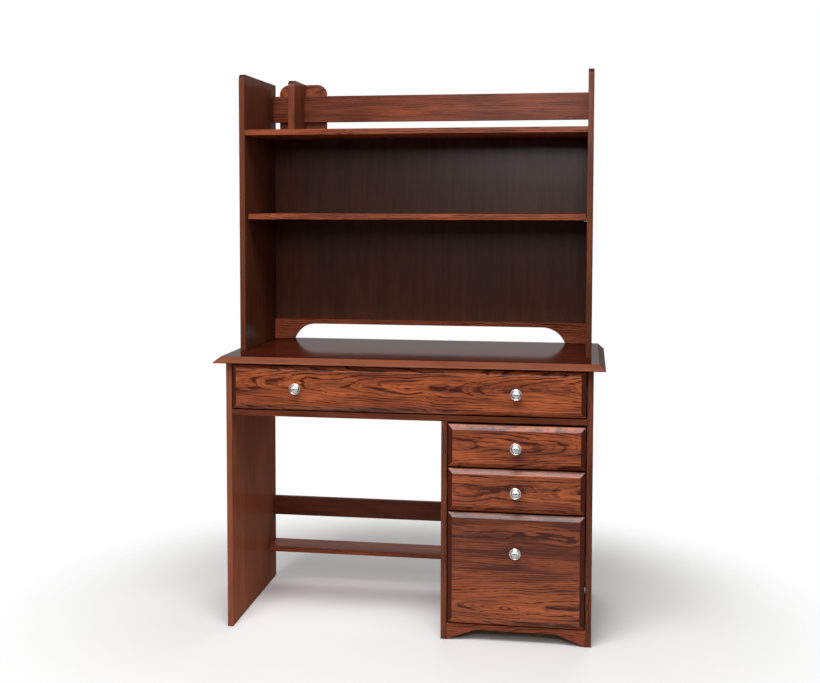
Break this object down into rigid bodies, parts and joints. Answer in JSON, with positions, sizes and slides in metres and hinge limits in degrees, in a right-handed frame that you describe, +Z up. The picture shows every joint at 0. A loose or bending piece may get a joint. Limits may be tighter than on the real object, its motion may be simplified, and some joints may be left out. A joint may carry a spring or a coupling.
{
  "type": "student desk with hutch",
  "caption": "Stained oak student desk with a drawer pedestal, a wide pencil drawer, a shelved hutch and a sliding bookend on its gallery rail.",
  "frame": {"origin": "on the floor, under the centre of the whole object's box", "axes": "+Z up, +X to the right of someone facing the drawers, -Y towards that person"},
  "size_m": [1.067, 0.527, 1.549],
  "materials": {
    "oak_desktop": "stained oak under glossy lacquer",
    "oak_upright": "stained oak, satin lacquer",
    "oak_rail": "stained oak, satin lacquer",
    "oak_back": "stained oak veneer panel",
    "oak_front": "stained oak with strong figure, gloss lacquer",
    "oak_bookend": "stained oak, satin lacquer",
    "drawer_box": "clear lacquered wood",
    "drawer_bottom": "thin plywood",
    "beech_tenon": "bare beech",
    "knob_nickel": "satin nickel",
    "slide_steel": "black plated",
    "pin_steel": "nickel plated",
    "screw_steel": "zinc plated"
  },
  "bodies": {
    "desk": {"desktop": "oak_desktop", "left_side_panel": "oak_upright", "right_side_panel": "oak_upright", "pedestal_partition": "oak_upright", "front_rail": "oak_rail", "upper_back_rail": "oak_rail", "pedestal_back_panel": "oak_back", "pedestal_apron": "oak_rail", "kneehole_shelf": "oak_rail", "kneehole_stretcher": "oak_rail", "hutch_left_side": "oak_upright", "hutch_right_side": "oak_upright", "hutch_top_shelf": "oak_rail", "hutch_adjustable_shelf": "oak_rail", "shelf_pins": "pin_steel", "hutch_back_panel": "oak_back", "hutch_arch_rail": "oak_rail", "gallery_rail": "oak_rail", "loose_tenons": "beech_tenon", "slide_case_members": "slide_steel"},
    "bookend": {"bookend_upright": "oak_bookend", "bookend_back_plate": "oak_bookend", "bookend_screws": "screw_steel"},
    "wide_drawer": {"wide_drawer_front": "oak_front", "wide_drawer_left_side": "drawer_box", "wide_drawer_right_side": "drawer_box", "wide_drawer_back": "drawer_box", "wide_drawer_bottom": "drawer_bottom", "wide_drawer_knobs": "knob_nickel", "wide_drawer_knob_screws": "screw_steel", "wide_drawer_slides": "slide_steel"},
    "wide_slide_middle": {"wide_middle_slides": "slide_steel"},
    "upper_drawer": {"upper_drawer_front": "oak_front", "upper_drawer_left_side": "drawer_box", "upper_drawer_right_side": "drawer_box", "upper_drawer_back": "drawer_box", "upper_drawer_bottom": "drawer_bottom", "upper_drawer_knob": "knob_nickel", "upper_drawer_knob_screw": "screw_steel", "upper_drawer_slides": "slide_steel"},
    "upper_slide_middle": {"upper_middle_slides": "slide_steel"},
    "lower_drawer": {"lower_drawer_front": "oak_front", "lower_drawer_left_side": "drawer_box", "lower_drawer_right_side": "drawer_box", "lower_drawer_back": "drawer_box", "lower_drawer_bottom": "drawer_bottom", "lower_drawer_knob": "knob_nickel", "lower_drawer_knob_screw": "screw_steel", "lower_drawer_slides": "slide_steel"},
    "lower_slide_middle": {"lower_middle_slides": "slide_steel"},
    "file_drawer": {"file_drawer_front": "oak_front", "file_drawer_left_side": "drawer_box", "file_drawer_right_side": "drawer_box", "file_drawer_back": "drawer_box", "file_drawer_bottom": "drawer_bottom", "file_drawer_knob": "knob_nickel", "file_drawer_knob_screw": "screw_steel", "file_drawer_slides": "slide_steel"},
    "file_slide_middle": {"file_middle_slides": "slide_steel"}
  },
  "joints": [
    {"name": "bookend_slide", "type": "slide", "parent": "desk", "child": "bookend", "axis": [1, 0, 0], "range_m": [-0.0155, 0.7955]},
    {"name": "wide_drawer_slide", "type": "slide", "parent": "desk", "child": "wide_drawer", "axis": [0, -1, 0], "range_m": [0, 0.38]},
    {"name": "wide_middle_slide", "type": "slide", "parent": "desk", "child": "wide_slide_middle", "axis": [0, -1, 0], "range_m": [0, 0.19]},
    {"name": "upper_drawer_slide", "type": "slide", "parent": "desk", "child": "upper_drawer", "axis": [0, -1, 0], "range_m": [0, 0.38]},
    {"name": "upper_middle_slide", "type": "slide", "parent": "desk", "child": "upper_slide_middle", "axis": [0, -1, 0], "range_m": [0, 0.19]},
    {"name": "lower_drawer_slide", "type": "slide", "parent": "desk", "child": "lower_drawer", "axis": [0, -1, 0], "range_m": [0, 0.38]},
    {"name": "lower_middle_slide", "type": "slide", "parent": "desk", "child": "lower_slide_middle", "axis": [0, -1, 0], "range_m": [0, 0.19]},
    {"name": "file_drawer_slide", "type": "slide", "parent": "desk", "child": "file_drawer", "axis": [0, -1, 0], "range_m": [0, 0.38]},
    {"name": "file_middle_slide", "type": "slide", "parent": "desk", "child": "file_slide_middle", "axis": [0, -1, 0], "range_m": [0, 0.19]}
  ],
  "couplings": [
    {"joint": "wide_middle_slide", "follows": "wide_drawer_slide", "ratio": 0.5},
    {"joint": "upper_middle_slide", "follows": "upper_drawer_slide", "ratio": 0.5},
    {"joint": "lower_middle_slide", "follows": "lower_drawer_slide", "ratio": 0.5},
    {"joint": "file_middle_slide", "follows": "file_drawer_slide", "ratio": 0.5}
  ]
}
